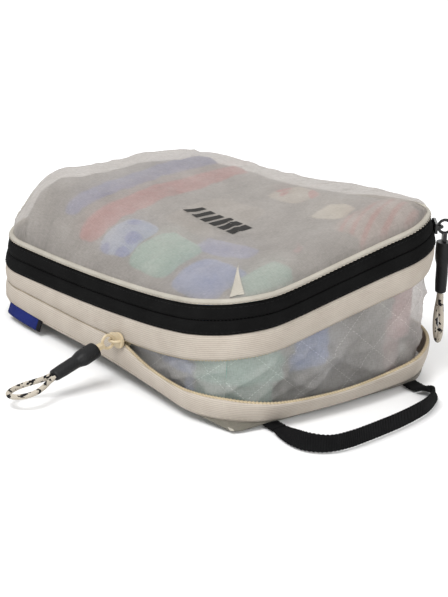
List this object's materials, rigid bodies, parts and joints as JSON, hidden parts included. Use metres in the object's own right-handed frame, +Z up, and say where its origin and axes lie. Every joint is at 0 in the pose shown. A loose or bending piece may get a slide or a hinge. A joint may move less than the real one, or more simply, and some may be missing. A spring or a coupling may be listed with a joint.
{
  "type": "packing cube",
  "caption": "Soft compression packing cube: translucent ripstop pouch with a zipped lid, a half-open compression zip over its gusset, cord-loop pulls and a webbing side handle.",
  "frame": {"origin": "centre of the flat floor of the base, where the cube rests", "axes": "+X along the long side towards the carry handle, +Y towards the lid's hinge side, +Z up"},
  "size_m": [0.3089, 0.2698, 0.1204],
  "materials": {
    "ripstop": "thin translucent grey-beige ripstop nylon, slightly glossy",
    "ivory_tape": "matt woven zip tape",
    "ivory_coil": "nylon coil",
    "black_tape": "matt woven zip tape",
    "black_coil": "nylon coil",
    "seam_binding": "folded ripstop seam allowance",
    "black_webbing": "ribbed webbing",
    "navy_label": "damask woven label",
    "ivory_metal": "satin enamel on cast zinc",
    "black_metal": "satin enamel on cast zinc",
    "black_sleeve": "satin heat-shrink sleeve",
    "fleck_cord": "braided cord, ivory with black flecks",
    "print_ink": "screen-printed ink"
  },
  "bodies": {
    "base": {"base_panel": "ripstop", "base_wall": "ripstop", "base_corner_seam_front_right": "seam_binding", "base_corner_seam_back_right": "seam_binding", "base_corner_seam_back_left": "seam_binding", "base_corner_seam_front_left": "seam_binding", "lower_compression_tape": "ivory_tape", "lower_compression_coil": "ivory_coil", "compression_zip_stop": "ivory_tape", "expansion_gusset": "ripstop", "side_label": "navy_label", "handle_tab_front": "black_webbing", "handle_tab_back": "black_webbing"},
    "handle": {"handle_webbing": "black_webbing"},
    "upper_ring": {"upper_compression_tape": "ivory_tape", "upper_compression_coil": "ivory_coil", "main_lower_tape": "black_tape", "main_lower_coil": "black_coil", "main_zip_end_tab": "black_tape", "back_hinge_strip": "ivory_tape"},
    "lid": {"main_upper_tape": "black_tape", "main_upper_coil": "black_coil", "lid_piping": "seam_binding", "lid_panel": "ripstop", "lid_corner_seam_front_right": "seam_binding", "lid_corner_seam_back_right": "seam_binding", "lid_corner_seam_back_left": "seam_binding", "lid_corner_seam_front_left": "seam_binding", "lid_print": "print_ink"},
    "compression_slider": {"compression_slider_body": "ivory_metal"},
    "compression_pull": {"compression_pull_ring": "ivory_metal", "compression_pull_sleeve": "black_sleeve", "compression_pull_cord": "fleck_cord"},
    "main_slider": {"main_slider_body": "black_metal"},
    "main_pull": {"main_pull_ring": "black_metal", "main_pull_sleeve": "black_sleeve", "main_pull_cord": "fleck_cord"}
  },
  "joints": [
    {"name": "expansion_tilt", "type": "hinge", "parent": "base", "child": "upper_ring", "pos_m": [0.128, 0, 0.055], "axis": [0, 1, 0], "range_deg": [0, 9], "deforming": ["expansion_gusset"]},
    {"name": "compression_slide", "type": "slide", "parent": "base", "child": "compression_slider", "axis": [-0.9992, 0, -0.04], "range_m": [0, 0.107]},
    {"name": "compression_pull_swing", "type": "hinge", "parent": "compression_slider", "child": "compression_pull", "pos_m": [0.02677, -0.0999, 0.0272], "axis": [-0.9957, 0, -0.0928], "range_deg": [0, 105]},
    {"name": "handle_swing", "type": "hinge", "parent": "base", "child": "handle", "pos_m": [0.139, 0, 0.0016], "axis": [0, -1, 0], "range_deg": [0, 60]},
    {"name": "lid_hinge", "type": "hinge", "parent": "upper_ring", "child": "lid", "pos_m": [0, 0.0922, 0.08496], "axis": [-0.9805, 0, -0.1966], "range_deg": [0, 110]},
    {"name": "main_slider_turn", "type": "hinge", "parent": "upper_ring", "child": "main_slider", "pos_m": [0.086, 0.049, 0.07744], "axis": [0.2724, 0.2441, -0.9307], "range_deg": [0, 26]},
    {"name": "main_pull_swing", "type": "hinge", "parent": "main_slider", "child": "main_pull", "pos_m": [0.11237, 0.09254, 0.09377], "axis": [0.8531, -0.5167, 0.0719], "range_deg": [0, 100]}
  ],
  "couplings": [
    {"joint": "compression_slide", "follows": "expansion_tilt", "m_per_rad": 0.681}
  ]
}
